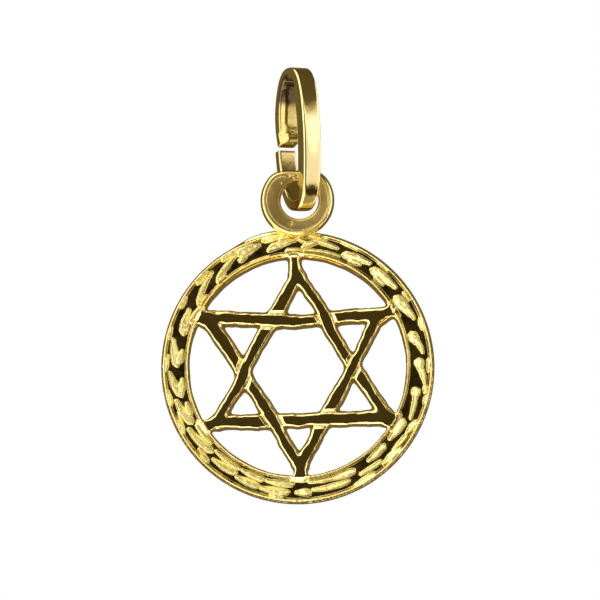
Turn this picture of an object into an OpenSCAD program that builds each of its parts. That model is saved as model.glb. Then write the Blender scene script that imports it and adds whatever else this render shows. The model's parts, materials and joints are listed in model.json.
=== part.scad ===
// Star of David pendant, cast in one piece and gilded, with a soldered eyelet and
// an open oval link as its bail. Millimetres. The medallion hangs in the XZ plane
// with its front towards -Y. The origin is the chain's seat, inside the top of the link.

/* [Medallion] */
// Outer diameter of the round medallion
disc_d = 16; // [14:0.1:22]
// Thickness of the medallion, from its back to the tops of the leaves
disc_t = 1.2; // [1:0.05:1.8]
// Width of the rim, from the opening to the outer edge
rim_w = 1.7; // [1.5:0.05:2.4]
// Width of each raised border of the rim
border_w = 0.3; // [0.2:0.01:0.4]
// Depth of the rim's ground below the tops of the leaves
ground_drop = 0.26; // [0.15:0.01:0.35]

/* [Star] */
// Width of a bar of the star at its foot
bar_w = 0.96; // [0.7:0.02:1.2]
// Width of the flat top of a bar
bar_top_w = 0.52; // [0.3:0.02:0.6]
// How far the star's points sink into the rim
tip_sink = 0.4; // [0.2:0.05:0.8]
// Turn of the whole star, as it was cast
star_turn = 1.9; // [-3:0.1:3]
// How far the middle of the star lies below the middle of the rim
star_drop = 0.12; // [0:0.01:0.2]
// Height that a bar loses where it dives under another
weave_dip = 0.24; // [0.1:0.01:0.3]
// Radius of the rounded corners of the openings
corner_r = 0.16; // [0.1:0.01:0.25]

/* [Eyelet] */
// Diameter of the hole that the link passes through
hole_d = 2.2; // [2.2:0.02:2.6]
// Outer diameter of the eyelet
eyelet_d = 4.45; // [4:0.05:5]
// How far the eyelet's top is flattened
eyelet_flat = 0.36; // [0.2:0.02:0.5]
// How far the hole lies to the right of the eyelet's middle
hole_right = 0.12; // [0.06:0.02:0.16]
// Thickness of the eyelet
eyelet_t = 0.92; // [0.7:0.02:1]
// How far the eyelet's middle stands in front of the medallion's middle
eyelet_forward = 0.42; // [0.3:0.02:0.5]
// How far the eyelet reaches down over the rim
eyelet_lap = 0.525; // [0.3:0.025:0.8]
// Backward lean of the eyelet
eyelet_lean = 4; // [0:0.5:5]
// Size of the worn edges of the eyelet
eyelet_edge = 0.2; // [0.1:0.01:0.25]
// Radius of the solder in the corner between the eyelet and the rim
solder_r = 0.45; // [0.2:0.05:0.7]

/* [Bail] */
// Outer height of the link
loop_h = 8.45; // [8:0.05:10]
// Outer depth of the link, across its two branches
loop_d = 4; // [3.9:0.05:4.8]
// Width of the flat wire
strip_w = 1.1; // [0.96:0.02:1.2]
// Width of the wire at its foot, where it passes through the eyelet
foot_w = 0.96; // [0.9:0.02:0.98]
// Thickness of the flat wire
strip_t = 0.66; // [0.5:0.02:0.7]
// Size of the rounded edges of the flat wire
strip_edge = 0.1; // [0.05:0.01:0.15]
// Turn of the link about the vertical, away from edge on
loop_yaw = 28; // [20:1:30]
// How far the foot of the link leans to the front
loop_lean = 0.6; // [0.3:0.05:0.7]
// Open gap between the two ends of the wire
gap_w = 0.25; // [0.1:0.05:0.6]
// How far the gap lies below the middle of the back branch
gap_drop = 0.5; // [0.2:0.1:1.2]
// How far the upper end of the wire is pressed inwards
end_press = 0.3; // [0:0.05:0.4]
// How far the wire's foot hangs below the middle of the eyelet's hole
foot_drop = 0.3; // [0.26:0.01:0.34]
// How far the wire's foot stands to the right of the middle of the hole
foot_right = 0.1; // [0.06:0.01:0.14]
// How far the wire's foot stands in front of the middle of the hole
foot_forward = 0.1; // [0.06:0.01:0.14]

/* [Hidden] */
$fn = 96;

GOLD = [0.83, 0.68, 0.33];
PALE_GOLD = [0.90, 0.78, 0.45];

// The rim
disc_r = disc_d / 2;
rim_in_r = disc_r - rim_w;
ground_z = disc_t - ground_drop;
// The borders end this much lower than the tops of the leaves
border_drop = 0.06;
border_z = disc_t - border_drop;
// Size of the rounding along the rim's edges
edge_round = 0.16;
// The rim's inner wall leans outwards by this much from back to front
wall_draft = 0.2;
ground_in_r = rim_in_r + wall_draft + border_w;
ground_out_r = disc_r - border_w;

// The star
bar_mid_r = (rim_in_r + tip_sink) / 2 - bar_w / 2;
plate_t = 0.66 * disc_t;
// The flat tops of the bars lie this much lower than the tops of the leaves
strap_drop = 0.1;
strap_z = disc_t - strap_drop;
// Height of a bar's bevels, and how far its upper part stands in from the plate's edges
strap_bevel = 0.2;
strap_inset = 0.05;
strap_foot_w = bar_w - 2 * strap_inset;
strap_foot_z = 0.35 * disc_t;
// At a point of the star one strap ends this much lower than the other
seam_step = 0.06;
// How far the plate and the bars reach into the rim, so that they are one casting
rim_bite = 0.03;

// The wreath: how deep a leaf is rooted in the ground, and the widths of a sprig's long
// leaf, of the lower lobe of its tail and of its outer bud, as shares of the ground's width
leaf_root = 0.12;
leaf_w = 0.68;
lobe_w = 0.4;
bud_w = 0.48;
// Length of a bud in degrees
bud_a = 7;

// The eyelet and the link, from the chain's seat down
foot_z = strip_t / 2 - (loop_h - strip_t);
hole_r = hole_d / 2;
eyelet_r = eyelet_d / 2;
eyelet_x = loop_lean * sin(loop_yaw) - foot_right;
eyelet_y = -loop_lean * cos(loop_yaw) + foot_forward;
eyelet_z = foot_z + foot_drop;
disc_x = eyelet_x - hole_right;
disc_z = eyelet_z - (eyelet_r - eyelet_lap) - disc_r;
disc_y = eyelet_y + eyelet_forward;

// One row for each bar of the star, clockwise from the top: the direction that the bar
// faces, its own tilt, and its distance from the middle as a share of bar_mid_r
BARS = [
    // faces, tilt, distance
    [0,   -0.9, 1.03],
    [60,  -0.4, 1.02],
    [120,  0.7, 0.97],
    [180, -0.2, 1.03],
    [240, -0.2, 0.97],
    [300, -0.1, 0.93],
];

// One row for each sprig of the wreath, clockwise from the top: the angle of its round
// head, its length in degrees, the radii of its head and tail as shares of the ground's
// width, and the angle that its outer bud is set back
SPRIGS = [
    // head, length, head at, tail at, bud back
    [2,   12, 0.30, 0.86,  0],
    [21,  12, 0.36, 0.60, -3],
    [36,  13, 0.42, 0.66, -2],
    [54,  12, 0.42, 0.60, -2],
    [72,  11, 0.36, 0.62, -1],
    [86,  10, 0.40, 0.56,  1],
    [100, 12, 0.36, 0.56,  2],
    [116, 13, 0.34, 0.62,  1],
    [133, 13, 0.40, 0.62,  0],
    [150, 12, 0.40, 0.64,  1],
    [166, 12, 0.40, 0.60,  0],
    [182, 12, 0.40, 0.60,  0],
    [197, 11, 0.42, 0.60,  1],
    [210, 12, 0.42, 0.62,  2],
    [225, 12, 0.40, 0.60, -1],
    [240, 12, 0.40, 0.60,  0],
    [255, 12, 0.40, 0.58, -1],
    [270, 12, 0.38, 0.60, -1],
    [285, 12, 0.38, 0.62, -2],
    [301, 14, 0.22, 0.72, -4],
    [317, 12, 0.20, 0.74, -5],
    [332, 11, 0.50, 0.66, -4],
    [346, 11, 0.42, 0.62, -1],
];

// A closed body through a list of rings, each with as many points as the first
module skin(rings) {
    n = len(rings[0]);
    last = len(rings) - 1;
    points = [for (ring = rings) each ring];
    sides = [for (k = [0:last - 1], i = [0:n - 1])
        [k * n + i, k * n + (i + 1) % n, (k + 1) * n + (i + 1) % n, (k + 1) * n + i]];
    polyhedron(
        points = points,
        faces = concat([[for (i = [n - 1:-1:0]) i]], sides, [[for (i = [0:n - 1]) last * n + i]]),
        convexity = 6);
}

// From here to the eyelet, x is to the right, y up, and z towards the viewer

// The turned section of the rim: two raised borders with the ground between them
module rim() {
    rotate_extrude() polygon([
        [rim_in_r, 0],
        [disc_r - edge_round / 2, 0],
        [disc_r, edge_round],
        [disc_r, border_z - 2 * edge_round],
        [disc_r - edge_round / 2, border_z - edge_round / 2],
        [disc_r - edge_round, border_z],
        [ground_out_r + edge_round / 2, border_z],
        [ground_out_r, ground_z],
        [ground_in_r, ground_z],
        [ground_in_r - edge_round / 2, border_z],
        [ground_in_r - edge_round, border_z],
        [rim_in_r + wall_draft / 2, border_z - 2 * edge_round],
        [rim_in_r, plate_t / 2],
    ]);
}

// Half the length of a bar whose outer corners end under the rim's inner border
function bar_half_length(mid) =
    sqrt(pow(ground_in_r - rim_bite, 2) - pow(mid + strap_foot_w / 2, 2));

module bar_footprint(mid) {
    half = bar_half_length(mid);
    translate([-half, mid - bar_w / 2]) square([2 * half, bar_w]);
}

// Places a bar that is drawn facing up, from its row in BARS
module place_bar(row) {
    translate([0, -star_drop]) rotate(row[1] + star_turn - row[0]) children();
}

// The lower body of the star, with rounded corners in all its openings
module star_plate() {
    linear_extrude(plate_t)
        offset(r = -corner_r, $fn = 40) offset(r = corner_r, $fn = 40) {
            for (row = BARS) place_bar(row) bar_footprint(bar_mid_r * row[2]);
            difference() {
                circle(disc_r - border_w);
                circle(rim_in_r + rim_bite);
            }
        }
}

// The raised upper part of a bar, with a flat top and bevelled sides. It runs over its
// neighbour at the crossing that comes first clockwise, and dives under the next one in
// a round trough. One end lies a little lower, as the other bar starts on top of it there.
module strap(mid) {
    half = bar_half_length(mid);
    foot = strap_foot_w / 2;
    flat = bar_top_w / 2;
    trough_half = 1.15 * bar_w;
    trough_r = (pow(trough_half, 2) + pow(weave_dip, 2)) / (2 * weave_dip);
    difference() {
        translate([-half, mid, strap_z]) rotate([0, atan(seam_step / half / 2), 0])
            rotate([90, 0, 90]) linear_extrude(2 * half) polygon([
                [-foot, strap_foot_z - strap_z], [foot, strap_foot_z - strap_z],
                [foot, -strap_bevel], [flat, 0], [-flat, 0], [-foot, -strap_bevel]]);
        translate([mid * tan(30), mid, strap_z - weave_dip + trough_r])
            rotate([90, 0, 0]) cylinder(r = trough_r, h = 2 * bar_w, center = true);
    }
}

function on_rim(r, a, z) = [r * sin(a), r * cos(a), z];

// A raised leaf that lies along the rim, blunt at its head and narrow at its tail.
// Radii run from the head to the tail, and w is its full width.
module leaf(from_a, to_a, from_r, to_r, w, rise) {
    outline = [[0, 0.3], [0.14, 0.5], [0.6, 0.46], [1, 0.14]];
    span = to_a - from_a;
    half_at = concat(outline, [for (i = [len(outline) - 1:-1:0]) [outline[i][0], -outline[i][1]]]);
    function ring(shrink, z) = [for (c = half_at)
        let (t = 0.5 + (c[0] - 0.5) * shrink)
        on_rim(from_r + (to_r - from_r) * t + c[1] * w * shrink, from_a + span * t, z)];
    skin([ring(1, ground_z - leaf_root), ring(0.72, ground_z + rise)]);
}

// One sprig: a long leaf with a forked tail, and a short bud beside it on the outside
module sprig(row) {
    ground_w = ground_out_r - ground_in_r;
    head_r = ground_in_r + ground_w * row[2];
    tail_r = ground_in_r + ground_w * row[3];
    tail_a = row[0] + row[1];
    from_a = row[0] - row[4];
    leaf(row[0], tail_a + 1, head_r, tail_r + 0.08 * ground_w, leaf_w * ground_w, ground_drop);
    leaf(row[0] + 0.45 * row[1], tail_a + 2, head_r - 0.04 * ground_w, head_r - 0.16 * ground_w,
        lobe_w * ground_w, 0.7 * ground_drop);
    leaf(from_a, from_a + bud_a, ground_out_r - 0.22 * ground_w, ground_out_r - 0.1 * ground_w,
        bud_w * ground_w, 0.75 * ground_drop);
}

// The eyelet, a turned ring with worn edges, whose top is filed flat. The hole is a little
// to the right of its middle.
module eyelet() {
    difference() {
        translate([-hole_right, 0, -eyelet_t / 2]) rotate_extrude() polygon([
            [0, 0],
            [eyelet_r - eyelet_edge * 1.4, 0],
            [eyelet_r, eyelet_edge * 1.4],
            [eyelet_r, eyelet_t - eyelet_edge * 1.4],
            [eyelet_r - eyelet_edge * 1.4, eyelet_t],
            [0, eyelet_t],
        ]);
        translate([0, 0, -eyelet_t / 2]) rotate_extrude() polygon([
            [0, -eyelet_edge],
            [hole_r + eyelet_edge * 1.4, -eyelet_edge],
            [hole_r, eyelet_edge],
            [hole_r, eyelet_t - eyelet_edge],
            [hole_r + eyelet_edge * 1.4, eyelet_t + eyelet_edge],
            [0, eyelet_t + eyelet_edge],
        ]);
        translate([-eyelet_r - hole_right, eyelet_r - eyelet_flat, -eyelet_t])
            cube([eyelet_d, eyelet_r, 2 * eyelet_t]);
    }
}

// Solder that fills the two corners between the eyelet and the top of the rim. It lies
// inside the thickness of both, and stays off the rim's ground.
module solder() {
    rise = disc_z - eyelet_z;
    inner_r = hole_r + eyelet_edge;
    solder_front = ground_z - disc_t / 2 - eyelet_forward + ground_drop / 2;
    solder_back = 0.35 * eyelet_t;
    translate([0, 0, -solder_back]) linear_extrude(solder_back + solder_front) difference() {
        offset(r = -solder_r, $fn = 48) offset(r = solder_r, $fn = 48) {
            translate([-hole_right, 0]) circle(eyelet_r - 1.4 * eyelet_edge);
            translate([-hole_right, rise]) circle(disc_r - edge_round / 2);
        }
        circle(inner_r);
        translate([-hole_right, rise]) circle(ground_out_r);
        translate([-disc_d, rise - disc_r]) square([2 * disc_d, disc_d - rim_w / 2]);
        translate([-disc_r, eyelet_r - eyelet_flat]) square([disc_d, eyelet_r]);
    }
}

module medallion() {
    color(GOLD) union() {
        translate([disc_x, disc_y, disc_z]) rotate([90, 0, 0]) translate([0, 0, -disc_t / 2]) {
            rim();
            star_plate();
            for (row = BARS) place_bar(row) strap(bar_mid_r * row[2]);
            for (row = SPRIGS) sprig(row);
        }
        translate([eyelet_x, eyelet_y, eyelet_z]) rotate([90 - eyelet_lean, 0, 0]) eyelet();
        translate([eyelet_x, eyelet_y, eyelet_z]) rotate([90, 0, 0]) solder();
    }
}

// The link's path, at an angle clockwise from its top: how far to the front it is, and
// how high above the chain's seat
path_h = loop_h - strip_t;
path_d = loop_d - strip_t;
gap_a = -90 - asin(2 * gap_drop / path_h);
gap_half_a = asin(gap_w / path_h);
upper_end_a = gap_a + gap_half_a;
lower_end_a = gap_a - gap_half_a + 360;
press_from_a = -60;
function signed_pow(v, k) = sign(v) * pow(abs(v), k);
function pressed(a) = end_press * pow(max(0, (press_from_a - a) / (press_from_a - upper_end_a)), 2);
function link_path(a) = [
    loop_lean * pow((1 - cos(a)) / 2, 2) + path_d / 2 * signed_pow(sin(a), 0.75) + pressed(a),
    strip_t / 2 - path_h / 2 * (1 - cos(a))];

// The flat wire's width at an angle from the top of the link. It is filed narrower at the foot.
function width_at(a) = foot_w + (strip_w - foot_w) * min(1, max(0, (abs(a - 180) - 35) / 30));

// The flat wire's section, as [outwards, along its width], with rounded edges
function strip_section(width) = let (t = strip_t / 2, w = width / 2, e = strip_edge) [
    [t, -w + e], [t, w - e], [t - e, w], [-t + e, w],
    [-t, w - e], [-t, -w + e], [-t + e, -w], [t - e, -w]];

// A station of the link: the section set square to the path
function link_ring(a) =
    let (here = link_path(a),
         along = link_path(a + 0.5) - link_path(a - 0.5),
         out = [-along[1], along[0]] / norm(along))
    [for (c = strip_section(width_at(a))) [c[1], -(here[0] + out[0] * c[0]), here[1] + out[1] * c[0]]];

module bail() {
    steps = 84;
    color(PALE_GOLD) rotate([0, 0, loop_yaw])
        skin([for (k = [0:steps]) link_ring(upper_end_a + (lower_end_a - upper_end_a) * k / steps)]);
}

medallion();
bail();
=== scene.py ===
import json
import math

import bpy
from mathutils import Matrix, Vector


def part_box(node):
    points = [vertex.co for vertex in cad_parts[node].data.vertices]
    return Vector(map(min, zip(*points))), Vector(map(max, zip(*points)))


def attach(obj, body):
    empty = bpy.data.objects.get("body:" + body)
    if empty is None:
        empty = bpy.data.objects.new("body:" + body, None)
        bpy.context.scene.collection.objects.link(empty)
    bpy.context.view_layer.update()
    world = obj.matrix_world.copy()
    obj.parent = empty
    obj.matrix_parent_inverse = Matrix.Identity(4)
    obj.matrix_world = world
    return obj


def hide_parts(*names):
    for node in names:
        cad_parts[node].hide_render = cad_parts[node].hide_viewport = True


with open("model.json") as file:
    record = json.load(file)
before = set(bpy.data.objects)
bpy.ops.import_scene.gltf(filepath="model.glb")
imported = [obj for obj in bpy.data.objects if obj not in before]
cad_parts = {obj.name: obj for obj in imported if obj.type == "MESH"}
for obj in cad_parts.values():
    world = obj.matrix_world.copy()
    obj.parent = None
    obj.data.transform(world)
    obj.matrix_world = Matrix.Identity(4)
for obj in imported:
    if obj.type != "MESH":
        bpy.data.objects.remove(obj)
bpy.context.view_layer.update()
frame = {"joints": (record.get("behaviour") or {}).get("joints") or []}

MM = 0.001

# Camera. The pendant is seen almost square on through a long lens, from a little to the
# right of the medallion's middle and a little below it, as a jeweller's catalogue shows it.
VIEW_AZIMUTH = math.radians(1.5)
VIEW_ELEVATION = math.radians(-3.5)
VIEW_DISTANCE = 450 * MM
PICTURE_WIDTH = 34.97 * MM
PICTURE_MIDDLE = Vector((0.20, 0.0, -12.93)) * MM

camera = bpy.data.objects.new("camera", bpy.data.cameras.new("camera"))
bpy.context.scene.collection.objects.link(camera)
bpy.context.scene.camera = camera
camera.data.sensor_width = 36
camera.data.lens = camera.data.sensor_width * VIEW_DISTANCE / PICTURE_WIDTH
camera.data.clip_start = 10 * MM
camera.data.clip_end = 5
view_back = Vector((
    math.sin(VIEW_AZIMUTH) * math.cos(VIEW_ELEVATION),
    -math.cos(VIEW_AZIMUTH) * math.cos(VIEW_ELEVATION),
    math.sin(VIEW_ELEVATION)))
camera.location = PICTURE_MIDDLE + view_back * VIEW_DISTANCE
camera.rotation_euler = (-view_back).to_track_quat("-Z", "Y").to_euler()


# Medallion. Rim, wreath and star are one brass casting, gilded and polished, so its hollows
# are soft and its high edges worn. The eyelet is a ring of its own, soldered to the rim's
# top, and the bail carries everything by it.
low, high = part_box("medallion")
DISC_R = (high.x - low.x) / 2 / MM
DISC_T = 1.2
EYELET = Vector(frame["joints"][0]["pos_m"]) / MM
DISC_AT = Vector((
    (low.x + high.x) / 2 / MM,
    high.y / MM - DISC_T / 2,
    low.z / MM + DISC_R))
# The finished skin stays this far inside the solid's outline
SKIN = 0.02

# Millimetres, and slopes as the height lost for each millimetre outwards
CASTING_SIZES = {
    "Disc radius": DISC_R - SKIN,
    "Opening radius": 6.3,
    "Opening ripple": 0.10,
    "Ground height": 0.92,
    "Inner border at": 0.12,
    "Inner border up": 0.18,
    "Outer border at": 0.20,
    "Border half width": 0.14,
    "Border height": 1.15,
    "Bevel foot": 0.885,
    "Bevel slope": 1.1,
    "Rim steepness": 1.2,
    "Wall draft": 0.12,
    "Rim fillet": 0.28,
    "Bar spread": 0.03,
    "Bar ripple": 0.18,
    "Bar height": 1.1,
    "Top fall": 1.7,
    "Corner fillet": 0.34,
    "Neck start": 5.5,
    "Neck end": 6.9,
    "Neck fillet": 0.22,
    "Star drop": 0.12,
    "Dive depth": 0.12,
    "Leaf height": 1.17,
    "Leaf edge": 0.06,
    "Leaf grain": 0.06,
    "Eyelet radius": 2.21,
    "Eyelet flat": 1.84,
    "Eyelet hole radius": 1.11,
    "Eyelet hole right": EYELET.x - DISC_AT.x,
    "Eyelet thickness": 0.9,
    "Eyelet bevel": 0.28,
    "Eyelet rounding": 0.16,
    "Eyelet height": EYELET.z - DISC_AT.z,
    "Eyelet forward": DISC_T / 2 + DISC_AT.y - EYELET.y,
    "Solder reach": 0.42,
    "Grain": 0.05,
}

# The whole star is turned anticlockwise by so many degrees. Its bars are charted this far to
# each side of their middles, in millimetres.
STAR_TURN = 1.9
BAR_REACH = 5.6

# One row for each bar of the star, clockwise from the top: the direction that it faces, its
# own tilt, both in degrees, its distance from the middle in millimetres, and how far its
# outer and its inner edge stand from there at each station along it, in millimetres
STATIONS = (-4.4, -3.4, -2.5, -0.8, 0, 0.8, 2.5, 3.4, 4.4)
BARS = [
    (0, 0.6, 2.92,
     (0.69, 0.59, 0.50, 0.38, 0.26, 0.23, 0.39, 0.44, 0.44),
     (0.13, 0.22, 0.31, 0.46, 0.52, 0.46, 0.41, 0.37, 0.38)),
    (60, 0.4, 2.87,
     (0.49, 0.53, 0.56, 0.40, 0.37, 0.35, 0.46, 0.43, 0.49),
     (0.35, 0.28, 0.23, 0.45, 0.45, 0.47, 0.47, 0.41, 0.40)),
    (120, -0.7, 2.75,
     (0.33, 0.34, 0.34, 0.44, 0.52, 0.48, 0.51, 0.52, 0.55),
     (0.52, 0.47, 0.40, 0.39, 0.42, 0.43, 0.42, 0.30, 0.35)),
    (180, 0.0, 2.92,
     (0.53, 0.51, 0.52, 0.46, 0.53, 0.48, 0.55, 0.49, 0.46),
     (0.44, 0.39, 0.40, 0.38, 0.37, 0.39, 0.42, 0.42, 0.41)),
    (240, 1.1, 2.84,
     (0.52, 0.53, 0.42, 0.40, 0.37, 0.41, 0.36, 0.36, 0.42),
     (0.28, 0.31, 0.34, 0.52, 0.48, 0.47, 0.57, 0.58, 0.55)),
    (300, -1.2, 2.74,
     (0.22, 0.22, 0.20, 0.40, 0.42, 0.45, 0.43, 0.40, 0.40),
     (0.54, 0.56, 0.64, 0.43, 0.44, 0.47, 0.55, 0.50, 0.46)),
]

# One row for each leaf and bud of the wreath: the angles where it starts and ends, clockwise
# from the top, then where it lies at each end across the ground, from 0 at the inner border
# to 1 at the outer one, and its width as a share of the ground's width
GROUND_IN_R = 6.67
GROUND_OUT_R = 7.66
LEAVES = [
    # from, to, at, at end, width
    (2.4, 12.8, 0.29, 0.98, 0.38), (10, 18.5, 0.70, 0.62, 0.25), (3.3, 20.6, 0.12, 0.22, 0.18),
    (-1.0, 10.0, 1.02, 0.96, 0.30),
    (19.7, 27, 1.06, 1.00, 0.20), (22, 35, 0.38, 0.68, 0.46), (26, 31.4, 0.20, 0.30, 0.28),
    (37, 51, 0.46, 0.65, 0.52), (41, 46, 0.22, 0.22, 0.32), (37.9, 43, 1.04, 1.00, 0.20),
    (54.3, 65.4, 0.30, 0.54, 0.60), (62, 67.5, 0.56, 0.66, 0.26), (55, 59, 0.86, 0.88, 0.18),
    (68.5, 73, 1.00, 0.92, 0.34), (73.4, 79, 0.22, 0.36, 0.60), (77, 83.5, 0.40, 0.66, 0.32),
    (86.5, 91.5, 0.40, 0.42, 0.54), (90, 97.5, 0.45, 0.80, 0.32), (87, 92, 0.96, 0.94, 0.22),
    (98.5, 101.5, 0.86, 0.88, 0.26), (100.3, 104.5, 0.33, 0.36, 0.52), (103, 114.5, 0.36, 0.55, 0.24),
    (103, 106, 1.02, 1.00, 0.26), (114.5, 121, 0.94, 0.74, 0.36), (116.5, 128, 0.22, 0.10, 0.52),
    (122, 131, 0.80, 0.70, 0.28), (128, 138.5, 0.94, 0.82, 0.42), (132, 143, 0.12, 0.14, 0.42),
    (138.5, 149.5, 0.64, 0.56, 0.26), (144, 154, 0.96, 1.00, 0.38), (151, 163, 0.18, 0.10, 0.42),
    (162, 174, 0.10, 0.05, 0.22), (155.5, 173, 0.60, 0.52, 0.32), (174, 180.5, 0.65, 0.62, 0.40),
    (182, 195, 0.15, 0.15, 0.38), (184, 197, 0.62, 0.66, 0.44), (187, 192, 0.96, 0.92, 0.26),
    (196.5, 208, 0.15, 0.12, 0.36), (198, 209, 0.60, 0.62, 0.44), (209.5, 224, 0.14, 0.12, 0.30),
    (210, 222.5, 0.44, 0.58, 0.42), (223.5, 230, 0.90, 0.78, 0.30), (225, 240.4, 0.30, 0.60, 0.46),
    (228.5, 240, 0.02, 0.10, 0.24), (240, 249, 1.00, 0.72, 0.28), (242, 254.5, 0.26, 0.64, 0.50),
    (246, 252, 0.12, 0.10, 0.32), (253.5, 259.5, 1.00, 1.00, 0.32), (255.8, 267.5, 0.26, 0.78, 0.46),
    (258, 264, 0.16, 0.06, 0.36), (268.5, 275, 1.02, 0.90, 0.28), (270.5, 282.7, 0.33, 0.72, 0.46),
    (272, 278, 0.20, 0.08, 0.40), (282.5, 287.3, 1.02, 1.02, 0.28), (286, 298, 0.24, 0.44, 0.50),
    (293, 301, 0.10, -0.04, 0.28), (297, 302, 0.98, 0.98, 0.32), (302.5, 318, 0.18, 0.76, 0.30),
    (303, 308, 0.00, 0.06, 0.22), (310, 316.5, 0.92, 0.94, 0.34), (317, 331, 0.16, 0.74, 0.32),
    (317, 321.5, 0.06, 0.10, 0.22), (325, 334.5, 0.92, 1.00, 0.36), (331.5, 335, 0.36, 0.40, 0.30),
    (332.2, 342.8, 0.68, 0.78, 0.58), (344.7, 354.1, 0.95, 1.02, 0.38), (346.5, 359.4, 0.40, 0.74, 0.38),
    (352, 358, 0.84, 0.94, 0.22), (346, 352, 0.30, 0.40, 0.18), (354.5, 361.6, 0.12, 0.14, 0.22),
]

# The necks in which the star's points run on to the rim: their direction in degrees, half
# their width, and 1 where the inner border stops for them
NECKS = [(-1.6, 0.42, 1), (58.2, 0.42, 1), (118.5, 0.40, 1),
         (178.5, 0.40, 1), (238.4, 0.34, 0), (298.0, 0.42, 1)]

# Pits that soldering left in the eyelet's face: how far across, how high and how large
PITS = [(-0.52, 11.15, 0.09), (-0.26, 10.97, 0.07), (-0.02, 11.13, 0.07),
        (-0.95, 10.72, 0.06), (-0.38, 8.36, 0.11)]


class Term:
    """A number that a node tree works out. Arithmetic on it adds Math nodes to the tree."""

    def __init__(self, tree, socket):
        self.tree = tree
        self.socket = socket

    def math(self, operation, *others):
        node = self.tree.nodes.new("ShaderNodeMath")
        node.operation = operation
        for entry, value in zip(node.inputs, (self, *others)):
            feed(self.tree, entry, value)
        return Term(self.tree, node.outputs[0])

    def __add__(self, other):
        return self.math("ADD", other)

    def __sub__(self, other):
        return self.math("SUBTRACT", other)

    def __mul__(self, other):
        return self.math("MULTIPLY", other)

    def __truediv__(self, other):
        return self.math("DIVIDE", other)

    def __neg__(self):
        return self.math("MULTIPLY", -1)

    def __abs__(self):
        return self.math("ABSOLUTE")

    __radd__ = __add__
    __rmul__ = __mul__

    def __rsub__(self, other):
        return -self + other

    def least(self, other, reach=0.0):
        """The smaller of the two, rounded off where they come nearer than reach."""
        return self.math("SMOOTH_MIN", other, reach)

    def most(self, other, reach=0.0):
        return self.math("SMOOTH_MAX", other, reach)

    def hypot(self, other):
        return (self * self + other * other).math("SQRT")

    def step(self, start, end):
        """0 up to start and 1 from end on, with a soft rise between."""
        node = self.tree.nodes.new("ShaderNodeMapRange")
        node.interpolation_type = "SMOOTHSTEP"
        for name, value in (("Value", self), ("From Min", start), ("From Max", end)):
            feed(self.tree, node.inputs[name], value)
        return Term(self.tree, node.outputs[0])


def feed(tree, entry, value):
    """Links a term or a socket to a node's input, or sets the input to a plain value."""
    if isinstance(value, Term):
        tree.links.new(value.socket, entry)
    elif isinstance(value, bpy.types.NodeSocket):
        tree.links.new(value, entry)
    else:
        entry.default_value = value


def add(tree, kind, entries=(), **settings):
    node = tree.nodes.new(kind)
    for name, value in settings.items():
        setattr(node, name, value)
    for name, value in dict(entries).items():
        feed(tree, node.inputs[name], value)
    return node


def vector(tree, x, y, z=0.0):
    return add(tree, "ShaderNodeCombineXYZ", {"X": x, "Y": y, "Z": z}).outputs[0]


def parts_of(tree, socket):
    node = add(tree, "ShaderNodeSeparateXYZ", {"Vector": socket})
    return [Term(tree, entry) for entry in node.outputs]


def noise(tree, place, per_mm, seed, detail=1.0):
    """Soft noise from about -0.5 to 0.5."""
    node = add(tree, "ShaderNodeTexNoise", {"Vector": place, "W": seed, "Scale": per_mm, "Detail": detail},
               noise_dimensions="4D")
    return Term(tree, node.outputs[0]) - 0.5


def charted(tree, value, stations, heights, reach):
    """A smooth curve through a chart's heights, read at a value between -reach and reach."""
    node = add(tree, "ShaderNodeFloatCurve", {"Value": (value + reach) / (2 * reach)})
    curve = node.mapping.curves[0]
    curve.points[0].location = (0, heights[0])
    curve.points[1].location = (1, heights[-1])
    for station, height in zip(stations, heights):
        curve.points.new(0.5 + station / (2 * reach), height)
    node.mapping.update()
    return Term(tree, node.outputs[0])


def sized_tree(name, sizes):
    """A tree with a named input for each size, its incoming geometry, and a term for each size."""
    tree = bpy.data.node_groups.new(name, "GeometryNodeTree")
    face = tree.interface
    face.new_socket("Geometry", in_out="INPUT", socket_type="NodeSocketGeometry")
    for size in sizes:
        face.new_socket(size, in_out="INPUT", socket_type="NodeSocketFloat")
    face.new_socket("Geometry", in_out="OUTPUT", socket_type="NodeSocketGeometry")
    entry = tree.nodes.new("NodeGroupInput")
    return tree, entry.outputs["Geometry"], {size: Term(tree, entry.outputs[size]) for size in sizes}


def close_tree(tree, geometry, material):
    """Ends a tree in Realize Instances and Set Material."""
    geometry = add(tree, "GeometryNodeRealizeInstances", {0: geometry}).outputs[0]
    geometry = add(tree, "GeometryNodeSetMaterial", {"Geometry": geometry, "Material": material}).outputs[0]
    end = tree.nodes.new("NodeGroupOutput")
    tree.links.new(geometry, end.inputs["Geometry"])


def chart_mesh(name, columns, rows):
    """A mesh with a point for each row of a chart, and an attribute for each column."""
    mesh = bpy.data.meshes.new(name)
    mesh.vertices.add(len(rows))
    for column, title in enumerate(columns):
        values = mesh.attributes.new(title, "FLOAT", "POINT")
        for row, entry in zip(rows, values.data):
            entry.value = row[column]
    return mesh


def grow(name, base, tree, sizes, *finishing):
    """The mesh that a tree makes of a base mesh. Finishing holds further modifiers, in order."""
    maker = bpy.data.objects.new(name + "_maker", base)
    bpy.context.scene.collection.objects.link(maker)
    nodes = maker.modifiers.new(tree.name, "NODES")
    nodes.node_group = tree
    for item in tree.interface.items_tree:
        if item.in_out == "INPUT" and item.name in sizes:
            nodes[item.identifier] = sizes[item.name]
    for kind, settings in finishing:
        modifier = maker.modifiers.new(kind.title(), kind)
        for setting, value in settings.items():
            setattr(modifier, setting, value)
    shaped = maker.evaluated_get(bpy.context.evaluated_depsgraph_get())
    mesh = bpy.data.meshes.new_from_object(shaped)
    bpy.data.objects.remove(maker)
    mesh.name = name
    return mesh


def new_piece(name, mesh):
    piece = bpy.data.objects.new(name, mesh)
    bpy.context.scene.collection.objects.link(piece)
    return piece


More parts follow.
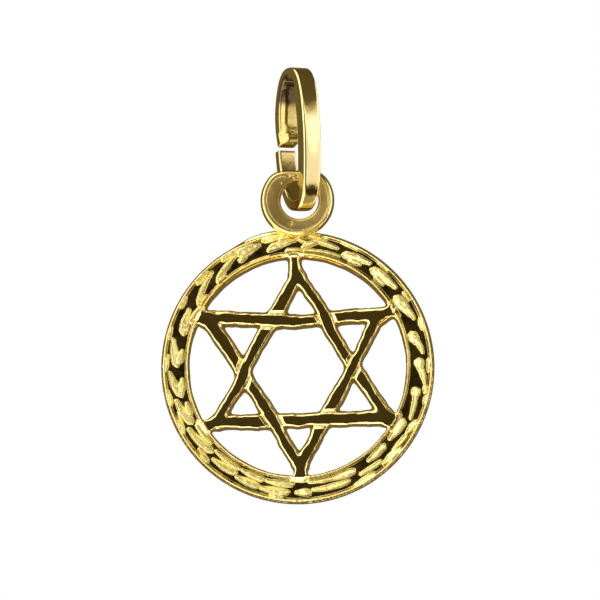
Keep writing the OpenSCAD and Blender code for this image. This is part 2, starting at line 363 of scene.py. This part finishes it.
def mixed(tree, share, first, second):
    """A colour between two others."""
    node = add(tree, "ShaderNodeMix", {"Factor": share}, data_type="RGBA")
    for entry, colour in ((node.inputs[6], first), (node.inputs[7], second)):
        if isinstance(colour, tuple):
            colour = (*colour, 1)
        feed(tree, entry, colour)
    return node.outputs[2]


def gilding(name, colour, rosy, roughness, grain):
    """Gilded brass. Its colour drifts between two golds and its polish is a little uneven."""
    material = bpy.data.materials.new(name)
    material.use_nodes = True
    tree = material.node_tree
    shader = tree.nodes["Principled BSDF"]
    shader.inputs["Metallic"].default_value = 1
    place = add(tree, "ShaderNodeTexCoord").outputs["Object"]
    drift = noise(tree, place, 900, 3, 3.0) + 0.5
    feed(tree, shader.inputs["Base Color"], mixed(tree, drift.step(0.3, 0.7), colour, rosy))
    smear = noise(tree, place, 1800, 5, 4.0)
    feed(tree, shader.inputs["Roughness"], smear * 0.12 + roughness)
    fine = noise(tree, place, 5200, 7, 3.0) + noise(tree, place, 16000, 8, 2.0) * 0.4
    bump = add(tree, "ShaderNodeBump", {"Height": fine, "Strength": 1.0, "Distance": grain * MM})
    feed(tree, shader.inputs["Normal"], bump.outputs[0])
    return material


# Most of the casting is polished. The leaves are left satin, painted shade darkens the low ground between
# the borders, and the eyelet has the matte, browner skin that soldering leaves, with painted shade to its
# left.
cast_gilt = gilding("cast gilding", (0.88, 0.72, 0.23), (0.86, 0.66, 0.18), 0.14, 0.006)
tree = cast_gilt.node_tree
shader = tree.nodes["Principled BSDF"]
on_leaf = add(tree, "ShaderNodeAttribute", attribute_name="leaf").outputs["Fac"]
on_eyelet = add(tree, "ShaderNodeAttribute", attribute_name="eyelet").outputs["Fac"]
polished = shader.inputs["Base Color"].links[0].from_socket
place = add(tree, "ShaderNodeTexCoord").outputs["Object"]
x, y, z = parts_of(tree, place)
# The eyelet's browner skin, with painted shade that darkens it towards the left
browned_and_shaded = mixed(tree, (x / MM).step(-1.2, 1.5), (0.46, 0.32, 0.07), (0.78, 0.58, 0.15))
colour = mixed(tree, on_leaf, polished, (1.0, 0.86, 0.27))
colour = mixed(tree, on_eyelet, colour, browned_and_shaded)

# Painted shade darkens the low ground between the two borders, but not the leaves
up = z / MM - DISC_AT.z
r = (x / MM - DISC_AT.x).hypot(up)
height = DISC_AT.y + DISC_T / 2 - y / MM
border_shift = (up / r).most(0) * CASTING_SIZES["Inner border up"]
on_ground = (r - border_shift).step(6.48, 6.55) * (1 - r.step(7.70, 7.78))
hollow = (1 - height.step(0.96, 1.07)) * height.step(0.6, 0.7) * on_ground
# Painted shade: near-black brown mixed into the hollow ground, mottled by noise
painted_ground_shade = hollow * (1 - Term(tree, on_leaf)) * (noise(tree, place, 1300, 9, 2.0) * 2 + 0.55)
feed(tree, shader.inputs["Base Color"], mixed(tree, painted_ground_shade, colour, (0.10, 0.07, 0.02)))
satin = Term(tree, shader.inputs["Roughness"].links[0].from_socket)
feed(tree, shader.inputs["Roughness"], satin + Term(tree, on_leaf) * 0.30 + Term(tree, on_eyelet) * 0.28)

# The metal is a field of distances in one node tree, below 0 inside it, which fuses its
# parts with the small fillets of a casting. In the tree, x is to the right, y up and z
# towards the viewer, in millimetres, from the middle of the medallion's back.
tree, chart, size = sized_tree("casting", CASTING_SIZES)
place = add(tree, "GeometryNodeInputPosition").outputs[0]
x, y, z = parts_of(tree, place)
r = x.hypot(y)
flat_place = vector(tree, x, y)
star_y = y + size["Star drop"]

# Each bar's plan is a band between its two charted edges, cut off at its ends by the two
# other bars of its triangle. It is over at one crossing, and dives under the next bar
# clockwise at the other.
bands = []
for number, (faces, tilt, distance, outer, inner) in enumerate(BARS):
    turn = math.radians(faces - tilt - STAR_TURN)
    along = x * math.cos(turn) - star_y * math.sin(turn)
    across = x * math.sin(turn) + star_y * math.cos(turn) - distance
    ripple = noise(tree, flat_place, 1.6, 20 + number, 2.0) * size["Bar ripple"] - size["Bar spread"]
    bands.append((across - charted(tree, along, STATIONS, outer, BAR_REACH) + ripple,
                  -across - charted(tree, along, STATIONS, inner, BAR_REACH) + ripple))
sides = []
for number, (outside, inside) in enumerate(bands):
    siblings = bands[(number + 2) % 6][0].most(bands[(number + 4) % 6][0])
    sides.append(outside.most(inside).most(siblings, 0.1))

# A bar's top is flat to this far inside its edge, and to beyond the edge at the star's
# points, where two bars run together
full_top = 0.15 - r.step(4.6, 5.3) * 0.30
plan = sides[0]
in_bar = sides[0]
tops = None
for number, side in enumerate(sides):
    dive = 1 - sides[(number + 1) % 6].step(-0.10, 0.16)
    top = size["Bar height"] - dive * size["Dive depth"] - (side + full_top).most(0) * size["Top fall"]
    tops = top if tops is None else tops.most(top, 0.05)
    plan = plan.least(side, size["Corner fillet"])
    in_bar = in_bar.least(side)
for faces, half_width, breaks_border in NECKS:
    turn = math.radians(faces)
    along = x * math.sin(turn) + star_y * math.cos(turn)
    across = x * math.cos(turn) - star_y * math.sin(turn)
    side = abs(across) - half_width
    side = side.most(size["Neck start"] - along, 0.1).most(along - size["Neck end"], 0.1)
    plan = plan.least(side, size["Neck fillet"])
    tops = tops.most(size["Bar height"] - (side + full_top).most(0) * size["Top fall"], 0.05)
    if breaks_border:
        in_bar = in_bar.least(side)

# The rim has two raised borders and the ground between them. The inner border lies further
# out at the top, and stops where a point of the star runs into the ground. The outer one
# bends round the solder under the eyelet.
opening = size["Opening radius"]
half_border = size["Border half width"]
upward = (y / r.most(1)).most(0)
rim_edge = opening - r + noise(tree, flat_place, 1.1, 31, 2.0) * size["Opening ripple"]
border_rise = size["Border height"] - size["Ground height"]
pad_x, pad_y, pad_r = 0.74, 8.23, 0.78
solder_pad = (x - pad_x).hypot(y - pad_y) - pad_r
rim_left = (size["Disc radius"] - r).least(solder_pad, 0.1)
inner_crest_r = opening + size["Inner border at"] + upward * size["Inner border up"]
inner_crest = 1 - (abs(r - inner_crest_r) / half_border).step(0.0, 1.0)
outer_crest = 1 - (abs(rim_left - size["Outer border at"]) / half_border).step(0.0, 1.0)
at_point = 1 - in_bar.step(-0.30, -0.08)
rim_top = size["Ground height"] + border_rise * (inner_crest * (1 - at_point) + outer_crest)
rim_top = rim_top - (opening + 0.1 - r).most(0) * 2
star_top = tops - r.step(6.35, 7.0) * 0.3 - (r - 6.9).most(0) * 2
height = rim_top.most(star_top, 0.10)

# The outline swells a little to the left of the eyelet. The rim's bevels are steeper than
# those of the bars, whose slope wanders along them, and start higher, but not at its top.
swollen = (1 - abs(x + 2.0).step(0.3, 2.2)) * (y / 8).step(0.8, 0.95) * 0.16
plan = plan.least(rim_edge, size["Rim fillet"]).most(r - size["Disc radius"] - swollen, 0.05)
on_rim = r.step(5.9, 6.4)
wave = 1 + noise(tree, flat_place, 0.9, 42, 2.0) * 1.1 * (1 - on_rim)
slope = size["Bevel slope"] * wave + on_rim * (size["Rim steepness"] - upward * 0.6)
foot = size["Bevel foot"] + on_rim * (0.105 - upward * 0.25) - r.step(7.2, 7.6) * (0.11 - upward * 0.25)
bevel = foot - plan * slope
height = height.least(bevel, 0.10)
height = height + noise(tree, flat_place, 2.2, 41, 3.0) * size["Grain"]
draft = size["Wall draft"] * (1 - on_rim * (0.7 - upward * 0.7))
wall = plan + draft - (1 - z / size["Bevel foot"]).most(0) * draft
casting = (z - height).most(wall, 0.06).most(-z, 0.16)


def chart_value(title):
    """What the chart's rows say in one of its columns."""
    return Term(tree, add(tree, "GeometryNodeInputNamedAttribute", {"Name": title}).outputs[0])


# Each leaf is a thin sheet bent to the rim, which gets its thickness from the distance to
# it. Heights are squashed while that is measured, which makes a leaf deeper than its edge.
sheet = add(tree, "GeometryNodeMeshGrid", {"Size X": 1.0, "Size Y": 1.0, "Vertices X": 12, "Vertices Y": 5})
leaves = add(tree, "GeometryNodeInstanceOnPoints", {"Points": chart, "Instance": sheet.outputs[0]})
leaves = add(tree, "GeometryNodeRealizeInstances", {0: leaves.outputs[0]}).outputs[0]
u, v, _ = parts_of(tree, add(tree, "GeometryNodeInputPosition").outputs[0])
u = u + 0.5
head = (u / 0.18).math("MINIMUM", 1)
blunt = (head * (2 - head)).math("SQRT")
taper = 1 - u.step(0.45, 1.05) * 0.72
ground_w = GROUND_OUT_R - GROUND_IN_R
half_w = (chart_value("width") * ground_w / 2 - size["Leaf edge"] * 0.8).most(0.01) * blunt * taper
leaf_a = (chart_value("from") + (chart_value("to") - chart_value("from")) * u) * math.radians(1)
leaf_r = GROUND_IN_R + (chart_value("at") + (chart_value("at end") - chart_value("at")) * u) * ground_w
leaf_r = leaf_r + v * 2 * half_w
squash = 0.38
crown = (0.5 - v) * 0.20 + v * v * 0.16 + (u - 0.4) * (u - 0.4) * 0.14
leaf_z = (size["Leaf height"] - size["Leaf edge"] / squash - crown) * squash
leaf_place = vector(tree, leaf_r * leaf_a.math("SINE"), leaf_r * leaf_a.math("COSINE"), leaf_z)
leaves = add(tree, "GeometryNodeSetPosition", {"Geometry": leaves, "Position": leaf_place}).outputs[0]
nearest = add(tree, "GeometryNodeProximity", {
    "Target": leaves, "Source Position": vector(tree, x, y, z * squash)})
leaf = Term(tree, nearest.outputs["Distance"]) - size["Leaf edge"]
clear_of_border = 0.16
leaf = (leaf + noise(tree, place, 3.0, 51, 2.0) * size["Leaf grain"]).most(
    inner_crest_r + clear_of_border - r, 0.04)

# The eyelet leans back a little, and its outline is filed flat at the top. Its face is worn
# down towards the edge in two slopes, and a shallow groove runs inside them.
lean = math.radians(4)
up = y - size["Eyelet height"]
front = z - size["Eyelet forward"]
eye_y = up * math.cos(lean) - front * math.sin(lean)
eye_z = up * math.sin(lean) + front * math.cos(lean)
outside = (x.hypot(eye_y) - size["Eyelet radius"]).most(eye_y - size["Eyelet flat"], 0.5)
hole = size["Eyelet hole radius"] - (x - size["Eyelet hole right"]).hypot(eye_y)
worn = (outside + size["Eyelet bevel"]).most(0) * 0.9 + (outside + size["Eyelet bevel"] - 0.11).most(0) * 1.9
groove = (1 - abs(outside + size["Eyelet bevel"] + 0.10).step(0.0, 0.06)) * 0.05
round_off = size["Eyelet rounding"]
axial = abs(eye_z) - size["Eyelet thickness"] / 2 + worn + groove
ring = (hole + round_off).most(0).hypot((axial + round_off).most(0)) + hole.most(axial + round_off).math(
    "MINIMUM", 0) - round_off
ring = ring.most(outside, 0.05)
metal = casting.least(leaf, 0.04).least(ring, abs(x).step(0.7, 1.5) * size["Solder reach"] + 0.08)
for pit_x, pit_y, pit_r in PITS:
    pit = pit_r - (x - pit_x).hypot(y - pit_y).hypot(eye_z - size["Eyelet thickness"] / 2)
    metal = metal.most(pit, 0.03)

# The field is read at points this far apart, in a box round all of the metal
VOXEL = 0.05
GRID_LOW = Vector((-DISC_R - 0.2, -DISC_R - 0.2, -0.15))
GRID_HIGH = Vector((DISC_R + 0.2, DISC_R + 4.2, 1.65))
steps = [round(length / VOXEL) for length in GRID_HIGH - GRID_LOW]
volume = add(tree, "GeometryNodeVolumeCube", {
    "Density": (1 - metal).most(0), "Background": 0.0, "Min": GRID_LOW, "Max": GRID_HIGH,
    "Resolution X": steps[0], "Resolution Y": steps[1], "Resolution Z": steps[2]})
skin = add(tree, "GeometryNodeVolumeToMesh", {"Volume": volume.outputs[0], "Threshold": 1.0})
skin = add(tree, "GeometryNodeSetShadeSmooth", {"Geometry": skin.outputs[0]})
skin = add(tree, "GeometryNodeStoreNamedAttribute", {
    "Geometry": skin.outputs[0], "Name": "leaf", "Value": 1 - leaf.step(0.0, 0.09)})
skin = add(tree, "GeometryNodeStoreNamedAttribute", {
    "Geometry": skin.outputs[0], "Name": "eyelet", "Value": 1 - (ring.most(outside + 0.3)).step(0.02, 0.08)})
skin = add(tree, "GeometryNodeTransform", {
    "Geometry": skin.outputs[0], "Scale": (MM, MM, MM), "Rotation": (math.radians(90), 0, 0),
    "Translation": Vector((DISC_AT.x, DISC_AT.y + DISC_T / 2, DISC_AT.z)) * MM})
close_tree(tree, skin.outputs[0], cast_gilt)

leaf_chart = chart_mesh("leaf chart", ("from", "to", "at", "at end", "width"), LEAVES)
mesh = grow("medallion_casting", leaf_chart, tree, CASTING_SIZES, ("DECIMATE", {"ratio": 0.37}))
medallion = new_piece("cast_medallion", mesh)
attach(medallion, "medallion")
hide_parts("medallion")


# Bail. An open oval link of flat brass wire, gilded, bent round a former and closed with
# pliers, which left hammer marks and a split on the inside near the upper end. It passes
# through the eyelet, and its foot carries the medallion.
LINK_SIZES = {
    "Outer height": 8.45,
    "Outer depth": 4.0,
    "Wire width": 1.1,
    "Foot width": 0.98,
    "Wire thickness": 0.64,
    "Branch swell": 0.36,
    "Face crown": 0.03,
    "Wire edge": 0.10,
    "Wire length": 19.0,
    "Foot lean": 0.6,
    "End press": 0.36,
    "Upper end": -94.2,
    "Lower end": 261.6,
    "Split angle": -85.0,
}
LINK_YAW = math.radians(28)
# The upper end is pressed inwards from this angle on
PRESS_FROM = -60
# The chain's seat lies this far below the middle of the wire
SEAT_DROP = 0.33

link_gilt = gilding("link gilding", (0.80, 0.66, 0.25), (0.76, 0.60, 0.19), 0.12, 0.004)
tree = link_gilt.node_tree
shader = tree.nodes["Principled BSDF"]
on_inside = Term(tree, add(tree, "ShaderNodeAttribute", attribute_name="inside").outputs["Fac"])
painted_crook_shade = add(tree, "ShaderNodeAttribute", attribute_name="crook_shade").outputs["Fac"]
polished = shader.inputs["Base Color"].links[0].from_socket
# The inner face is hammered satin, and painted shade darkens its colour
hammered_and_shaded = mixed(tree, on_inside, polished, (0.60, 0.45, 0.11))
# Painted shade, near black, fills the crook at the top of the inner arch
feed(tree, shader.inputs["Base Color"], mixed(tree, painted_crook_shade, hammered_and_shaded, (0.12, 0.08, 0.03)))
satin = Term(tree, shader.inputs["Roughness"].links[0].from_socket)
feed(tree, shader.inputs["Roughness"], satin + on_inside * 0.16)

tree, _, size = sized_tree("link", LINK_SIZES)
half_thick = size["Wire thickness"] / 2
half_long = size["Wire length"] / 2
bar = add(tree, "GeometryNodeMeshCube", {
    "Size": (2.0, 2.0, 2.0), "Vertices X": 15, "Vertices Y": 11, "Vertices Z": 560})
share_wide, share_thick, share_long = parts_of(tree, add(tree, "GeometryNodeInputPosition").outputs[0])


def crowd(share, half):
    """Moves the rows of a unit grid closer together towards its edges."""
    return (share * (math.pi / 2)).math("SINE") * half


def angle_at(share):
    """The angle from the top of the link, at a share from -1 to 1 of the wire's length."""
    return size["Upper end"] + (size["Lower end"] - size["Upper end"]) * (share * 0.5 + 0.5)


# The wire is straight at first. It is filed narrower at its foot, and its edges are rounded.
full_width = (abs(angle_at(share_long) - 180) - 35) / 30
half_wide = (size["Foot width"] + (size["Wire width"] - size["Foot width"])
             * full_width.most(0).math("MINIMUM", 1)) / 2
wide, thick, long = crowd(share_wide, half_wide), crowd(share_thick, half_thick), share_long * half_long
edge = size["Wire edge"]
flat_wide = wide.most(edge - half_wide).math("MINIMUM", half_wide - edge)
flat_thick = thick.most(edge - half_thick).math("MINIMUM", half_thick - edge)
flat_long = long.most(edge - half_long).math("MINIMUM", half_long - edge)
off = (wide - flat_wide, thick - flat_thick, long - flat_long)
off_length = off[0].hypot(off[1]).hypot(off[2]).most(0.001)
wide, thick, long = (flat + part / off_length * edge
                     for flat, part in zip((flat_wide, flat_thick, flat_long), off))
angle = angle_at(long / half_long)


def link_path(angle):
    """How far to the front and how high the wire's middle is, at an angle from the top."""
    turn = angle * math.radians(1)
    fall = (1 - turn.math("COSINE")) / 2
    swing = turn.math("SINE")
    bulge = abs(swing).math("POWER", 0.75) * swing.math("SIGN")
    press = ((PRESS_FROM - angle) / (PRESS_FROM - size["Upper end"])).most(0)
    front = (size["Foot lean"] * fall * fall + press * press * size["End press"]
             + (size["Outer depth"] - size["Wire thickness"]) / 2 * bulge)
    return front, SEAT_DROP - (size["Outer height"] - 2 * SEAT_DROP) * fall


front, high_up = link_path(angle)
front_before, up_before = link_path(angle - 0.5)
front_after, up_after = link_path(angle + 0.5)
run, rise = front_after - front_before, up_after - up_before
reach = run.hypot(rise)
out_front, out_up = -rise / reach, run / reach

# Dents, the split and the bruised corner beyond it are only on the wire's inner face. The
# branches are thicker inside, but not at the corners that the swinging medallion passes.
place = vector(tree, wide, thick * 0.5, long)
inner = (-thick).step(0.0, 0.2)
upper_back = (-angle).step(15, 40)
dents = noise(tree, place, 1.8, 61, 2.0) * 0.26 * upper_back + noise(tree, place, 0.8, 62, 2.0) * 0.08
split_at = size["Split angle"] + noise(tree, vector(tree, wide, 0.0), 2.0, 63, 2.0) * 8
split = 1 - abs(angle - split_at).step(0.4, 1.6)
bruise = (split_at - angle).step(0.0, 1.0) * (1 - wide.step(-0.30, -0.22))
branch = 1 - abs(abs(angle) - 90).step(30, 72)
front_branch = angle.step(-5, 5)
swell = branch * size["Branch swell"] * (
    front_branch * (1 - wide.step(-0.15, 0.45))
    + (1 - front_branch) * (0.22 + wide.step(-0.5, -0.24) * 0.78))
crown = crowd(share_wide, 1)
thick = (thick + inner * ((dents + 0.04).most(0) * 0.5 + split * 0.12 + bruise * 0.14 - swell)
         - thick.step(0.0, 0.2) * crown * crown * size["Face crown"] * abs(angle).step(30, 75))
wide = wide * (1 - abs(noise(tree, vector(tree, long, 0.0), 0.7, 64)) * 0.03)
link_x, link_front, link_up = wide, front + out_front * thick, high_up + out_up * thick

# The attributes for the inner face's finish and its painted shade are stored while the wire is still
# straight
bent = add(tree, "GeometryNodeStoreNamedAttribute", {
    "Geometry": bar.outputs[0], "Name": "inside",
    "Value": inner * (upper_back + angle.step(215, 235) * 0.5)})
# Painted shade for the crook at the top of the inner arch
bent = add(tree, "GeometryNodeStoreNamedAttribute", {
    "Geometry": bent.outputs[0], "Name": "crook_shade", "Value": inner * (1 - abs(angle + 28).step(23, 31))})
bent = add(tree, "GeometryNodeSetPosition", {
    "Geometry": bent.outputs[0], "Position": vector(tree, link_x, -link_front, link_up)})
bent = add(tree, "GeometryNodeTransform", {
    "Geometry": bent.outputs[0], "Scale": (MM, MM, MM), "Rotation": (0, 0, LINK_YAW)})
bent = add(tree, "GeometryNodeSetShadeSmooth", {"Geometry": bent.outputs[0]})
close_tree(tree, bent.outputs[0], link_gilt)

bail = new_piece("wire_bail", grow("bail_wire", chart_mesh("link start", (), [()]), tree, LINK_SIZES))
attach(bail, "bail")
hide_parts("bail")


# Floor and light. The pendant hangs over plain pale paper in a white tent, as polished gold
# is photographed. Dark cards round it give the flat faces their deep tone, and the paper
# doesn't show in the metal.
floor_mesh = bpy.data.meshes.new("floor")
half_side = 1.5
floor_z = -45 * MM
corners = [(-1, -1), (1, -1), (1, 1), (-1, 1)]
floor_mesh.from_pydata([(x * half_side, y * half_side, floor_z) for x, y in corners], [], [(0, 1, 2, 3)])
floor = new_piece("floor", floor_mesh)
paper = bpy.data.materials.new("paper")
paper.use_nodes = True
paper.node_tree.nodes["Principled BSDF"].inputs["Base Color"].default_value = (0.86, 0.85, 0.66, 1)
paper.node_tree.nodes["Principled BSDF"].inputs["Roughness"].default_value = 0.9
floor_mesh.materials.append(paper)
floor.visible_glossy = False

world = bpy.data.worlds.new("studio")
bpy.context.scene.world = world
world.use_nodes = True
tree = world.node_tree
background = tree.nodes["Background"]
dx, dy, dz = parts_of(tree, add(tree, "ShaderNodeTexCoord").outputs["Generated"])
tent = tree.nodes.new("ShaderNodeValue")
tent.outputs[0].default_value = 2.2

# One row for each card or lamp in the tent: its direction, the degrees round it that it
# fills and those where it ends, and its brightness
CARDS = [
    ((-0.29, -0.19, -0.95), 16, 28, 3.4),   # lamp below, for the lower bevels
    ((0, 1, 0), 64, 80, 0.17),              # backdrop, for the steep walls
    ((0.83, -0.56, 0.0), 16, 30, 1.25),     # card at the right, for the link's face
    ((0.80, -0.55, 0.26), 5, 10, 2.1),      # brighter patch above it
    ((0.46, -0.31, -0.83), 18, 26, 0.5),    # dimmer part of the tent below, for the link's foot
    ((0.35, 0.35, 0.87), 24, 36, 0.11),     # three cards overhead, for the link's top
    ((0.51, -0.34, 0.79), 23, 35, 0.12),
    ((0.38, -0.54, 0.75), 17, 25, 0.12),
    ((0.87, -0.20, -0.45), 8, 13, 0.05),    # a strip low at the right, for the dark band
    ((0.73, -0.47, -0.45), 9, 14, 0.05),    # above the link's foot
    ((0.52, -0.70, -0.45), 8, 13, 0.05),
    ((0, -1, 0), 20, 40, 0.05),             # the camera's side, for all flat faces
]
brightness = Term(tree, tent.outputs[0])
for towards, full, none, level in CARDS:
    towards = Vector(towards).normalized()
    share = (dx * towards.x + dy * towards.y + dz * towards.z).step(
        math.cos(math.radians(none)), math.cos(math.radians(full)))
    brightness = brightness + share * (level - brightness)

# The tent's dim parts are warm and its bright ones cool. The camera sees plain white behind.
camera_ray = Term(tree, add(tree, "ShaderNodeLightPath").outputs["Is Camera Ray"])
tint = mixed(tree, brightness.step(0.3, 1.5), (1.0, 0.80, 0.42), (0.97, 1.0, 1.4))
feed(tree, background.inputs["Color"], mixed(tree, camera_ray, tint, (1.0, 1.0, 1.0)))
feed(tree, background.inputs["Strength"], brightness + camera_ray * (1 - brightness))
bpy.context.scene.view_settings.view_transform = "Standard"
